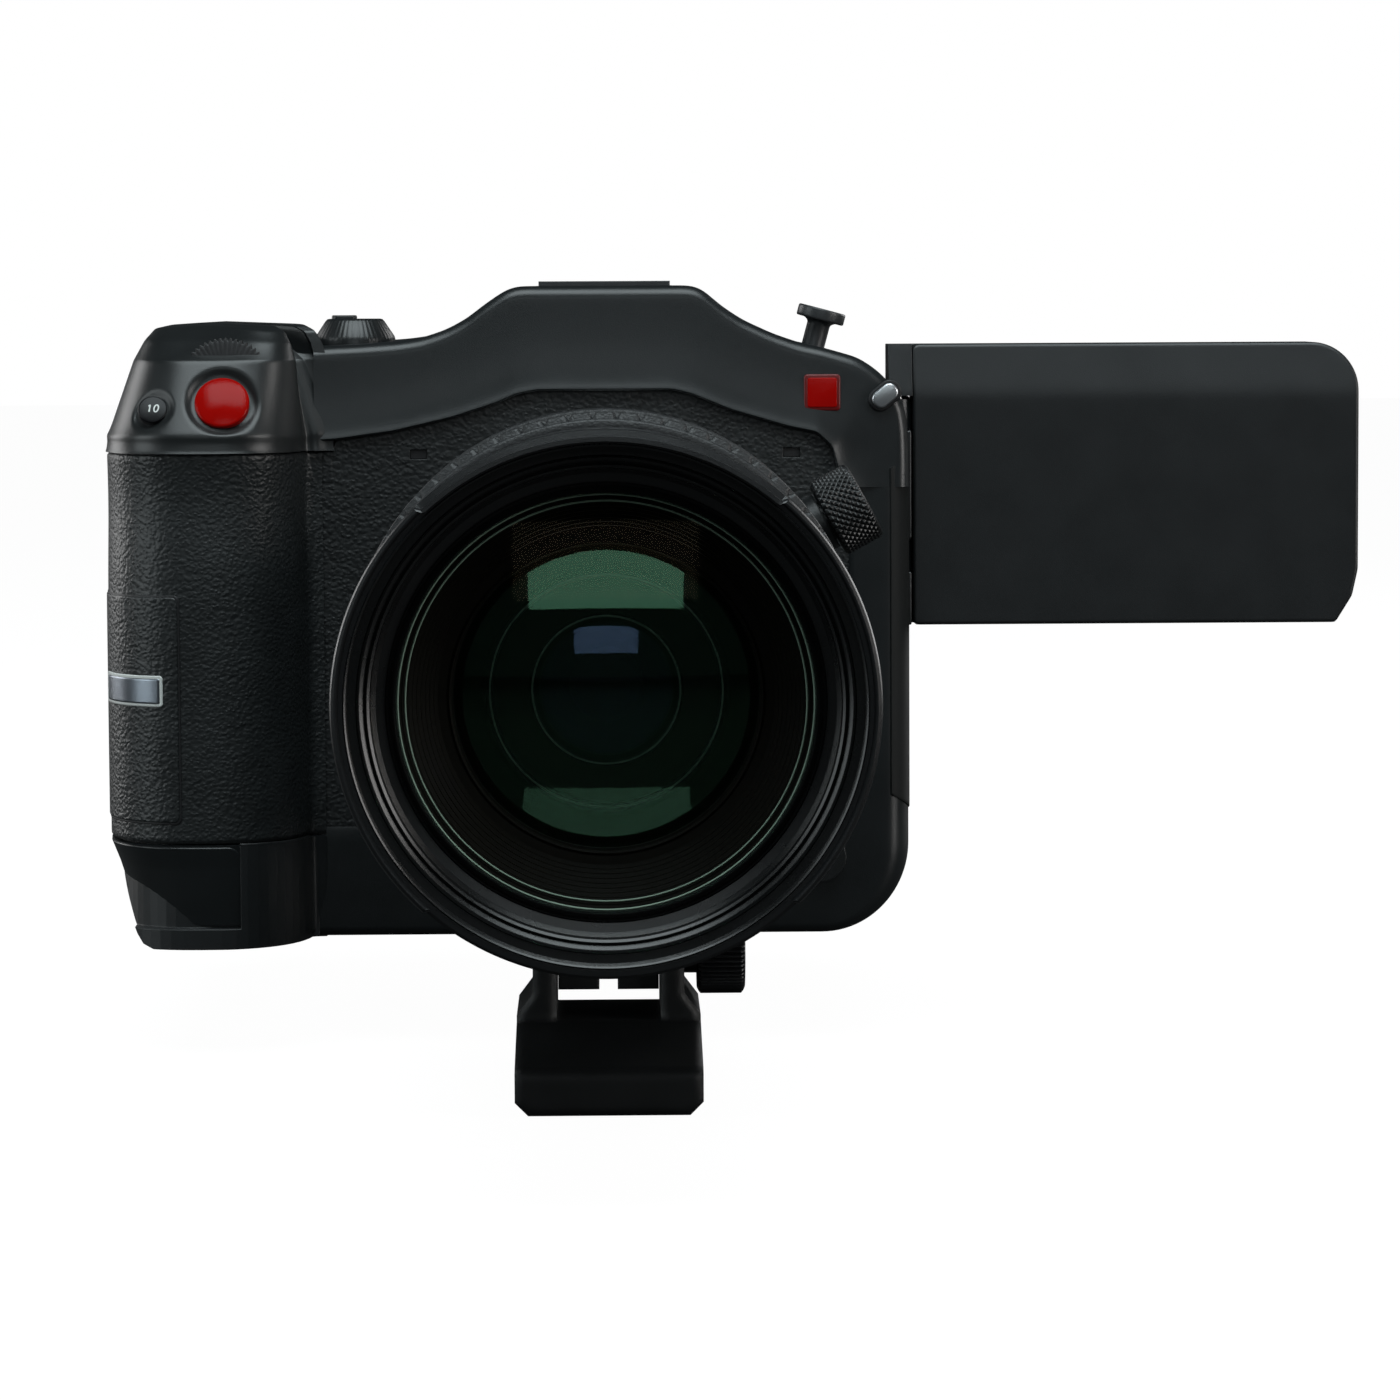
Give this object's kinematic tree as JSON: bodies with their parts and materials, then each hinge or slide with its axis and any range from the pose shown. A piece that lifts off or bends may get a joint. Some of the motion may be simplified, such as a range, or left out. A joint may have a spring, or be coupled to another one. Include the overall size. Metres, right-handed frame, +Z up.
{
  "type": "digital cinema camera",
  "caption": "Compact cinema camera with a side grip, swing-out screen panel and long zoom lens held in a collar with a tripod foot.",
  "frame": {"origin": "centre of the small tripod thread's mouth in the base of the lens foot", "axes": "+Z up, -Y the way the lens looks, +X the camera's left, where the screen panel is"},
  "size_m": [0.2496, 0.307, 0.1498],
  "materials": {
    "casing": "satin",
    "casing_smooth": "satin",
    "grip_leather": "matte",
    "inner_dark": "matte",
    "mount_steel": "satin",
    "bright_metal": "polished",
    "board_green": "satin",
    "heat_metal": "satin",
    "dark_metal": "satin",
    "shoe_metal": "satin",
    "red_plastic": "gloss",
    "black_gloss": "gloss",
    "ring_rubber": "matte",
    "lens_glass": "polished"
  },
  "bodies": {
    "foot_and_collar": {"collar_ring": "dark_metal", "tripod_foot": "dark_metal"},
    "camera_body": {"front_shell": "casing", "rear_shell": "casing", "top_cover": "casing", "base_plate": "casing", "mount_ring": "mount_steel", "mount_screws": "mount_steel", "contact_block": "inner_dark", "nd_filter_unit": "inner_dark", "sensor_unit": "inner_dark", "heat_sink": "heat_metal", "fan_housing": "inner_dark", "main_board": "board_green", "card_reader": "heat_metal", "grip_shell": "casing", "grip_rubber": "grip_leather", "grip_head": "casing_smooth", "front_rubber": "grip_leather", "strap_plate": "grip_leather", "strap_bar": "bright_metal", "accessory_shoe": "shoe_metal", "tape_hook": "shoe_metal", "strap_lugs": "bright_metal", "badge_plate": "red_plastic", "lcd_hinge_pins": "mount_steel", "side_strip": "grip_leather", "microphones": "inner_dark", "lens_mount": "mount_steel", "lens_barrel": "dark_metal", "optics_tube": "inner_dark", "front_barrel": "dark_metal", "front_glass": "lens_glass", "inner_glass": "lens_glass", "iris_unit": "inner_dark"},
    "collar_knob": {"collar_knob": "dark_metal"},
    "foot_knob": {"foot_knob": "dark_metal"},
    "fan_rotor": {"fan_rotor": "inner_dark"},
    "battery_latch": {"battery_latch": "inner_dark"},
    "card_door": {"card_door": "casing"},
    "timecode_cover": {"timecode_cover": "casing_smooth"},
    "rec_button": {"rec_button": "red_plastic"},
    "assign_button": {"assign_button": "black_gloss"},
    "front_dial": {"front_dial": "inner_dark"},
    "power_dial": {"power_dial": "casing_smooth"},
    "joystick": {"joystick": "grip_leather"},
    "rear_dial": {"rear_dial": "inner_dark"},
    "menu_button": {"menu_button": "inner_dark"},
    "lens_release_button": {"lens_release_button": "casing_smooth"},
    "lcd_arm": {"lcd_arm": "casing"},
    "terminal_door": {"terminal_door": "grip_leather"},
    "iris_ring": {"iris_ring": "ring_rubber"},
    "zoom_ring": {"zoom_ring": "ring_rubber"},
    "focus_ring": {"focus_ring": "ring_rubber"},
    "control_ring": {"control_ring": "ring_rubber"},
    "zoom_group": {"zoom_group": "lens_glass"},
    "battery": {"battery": "inner_dark"},
    "lcd_panel": {"lcd_back_cover": "casing_smooth", "lcd_bezel": "casing_smooth", "lcd_screen": "black_gloss"}
  },
  "joints": [
    {"name": "camera_turn", "type": "hinge", "parent": "foot_and_collar", "child": "camera_body", "pos_m": [0, 0.006, 0.0825], "axis": [0, 1, 0], "continuous": true},
    {"name": "collar_knob_turn", "type": "hinge", "parent": "foot_and_collar", "child": "collar_knob", "pos_m": [0, 0.006, 0.0825], "axis": [0.8763, 0, 0.4818], "range_deg": [0, 360]},
    {"name": "foot_knob_turn", "type": "hinge", "parent": "foot_and_collar", "child": "foot_knob", "pos_m": [0, 0.006, 0.0248], "axis": [1, 0, 0], "range_deg": [0, 360]},
    {"name": "lcd_swing", "type": "hinge", "parent": "camera_body", "child": "lcd_arm", "pos_m": [0.0579, 0.069, 0.1093], "axis": [0, 0, 1], "range_deg": [0, 90]},
    {"name": "lcd_tilt", "type": "hinge", "parent": "lcd_arm", "child": "lcd_panel", "pos_m": [0.0609, 0.072, 0.1093], "axis": [1, 0, 0], "range_deg": [-90, 180]},
    {"name": "rec_press", "type": "slide", "parent": "camera_body", "child": "rec_button", "axis": [0, 0.8752, -0.4837], "range_m": [0, 0.0006], "stiffness_N_per_m": 400},
    {"name": "assign_press", "type": "slide", "parent": "camera_body", "child": "assign_button", "axis": [0, 0.8752, -0.4837], "range_m": [0, 0.0006], "stiffness_N_per_m": 400},
    {"name": "front_dial_turn", "type": "hinge", "parent": "camera_body", "child": "front_dial", "pos_m": [-0.07348, 0.051, 0.1299], "axis": [0, 1, 0], "continuous": true},
    {"name": "power_turn", "type": "hinge", "parent": "camera_body", "child": "power_dial", "pos_m": [-0.0499, 0.081, 0.1369], "axis": [0, 0, 1], "range_deg": [-30, 30]},
    {"name": "joystick_press", "type": "slide", "parent": "camera_body", "child": "joystick", "axis": [0, -1, 0], "range_m": [0, 0.0006], "stiffness_N_per_m": 400},
    {"name": "rear_dial_turn", "type": "hinge", "parent": "camera_body", "child": "rear_dial", "pos_m": [-0.032, 0.16, 0.0745], "axis": [0, 1, 0], "continuous": true},
    {"name": "menu_press", "type": "slide", "parent": "camera_body", "child": "menu_button", "axis": [0, -1, 0], "range_m": [0, 0.0006], "stiffness_N_per_m": 400},
    {"name": "release_press", "type": "slide", "parent": "camera_body", "child": "lens_release_button", "axis": [0, 1, 0], "range_m": [0, 0.0015], "stiffness_N_per_m": 400},
    {"name": "card_door_swing", "type": "hinge", "parent": "camera_body", "child": "card_door", "pos_m": [0.008, 0.16, 0.0505], "axis": [0, 0, 1], "range_deg": [0, 100]},
    {"name": "timecode_cover_swing", "type": "hinge", "parent": "camera_body", "child": "timecode_cover", "pos_m": [-0.0982, 0.068, 0.0325], "axis": [0, 0, -1], "range_deg": [0, 100]},
    {"name": "terminal_door_swing", "type": "hinge", "parent": "camera_body", "child": "terminal_door", "pos_m": [0.0598, 0.103, 0.0345], "axis": [0, 1, 0], "range_deg": [0, 100]},
    {"name": "battery_slide", "type": "slide", "parent": "camera_body", "child": "battery", "axis": [0, 1, 0], "range_m": [0, 0.045]},
    {"name": "latch_slide", "type": "slide", "parent": "camera_body", "child": "battery_latch", "axis": [1, 0, 0], "range_m": [0, 0.004], "stiffness_N_per_m": 200},
    {"name": "fan_spin", "type": "hinge", "parent": "camera_body", "child": "fan_rotor", "pos_m": [0, 0.102, 0.0825], "axis": [0, 1, 0], "continuous": true},
    {"name": "iris_turn", "type": "hinge", "parent": "camera_body", "child": "iris_ring", "pos_m": [0, 0.037, 0.0825], "axis": [0, 1, 0], "range_deg": [0, 70]},
    {"name": "zoom_turn", "type": "hinge", "parent": "camera_body", "child": "zoom_ring", "pos_m": [0, -0.049, 0.0825], "axis": [0, 1, 0], "range_deg": [-35, 35]},
    {"name": "focus_turn", "type": "hinge", "parent": "camera_body", "child": "focus_ring", "pos_m": [0, -0.088, 0.0825], "axis": [0, 1, 0], "continuous": true},
    {"name": "control_turn", "type": "hinge", "parent": "camera_body", "child": "control_ring", "pos_m": [0, -0.115, 0.0825], "axis": [0, 1, 0], "continuous": true},
    {"name": "zoom_group_slide", "type": "slide", "parent": "camera_body", "child": "zoom_group", "axis": [0, -1, 0], "range_m": [-0.012, 0.012]}
  ],
  "couplings": [
    {"joint": "zoom_group_slide", "follows": "zoom_turn", "m_per_rad": 0.0196}
  ]
}
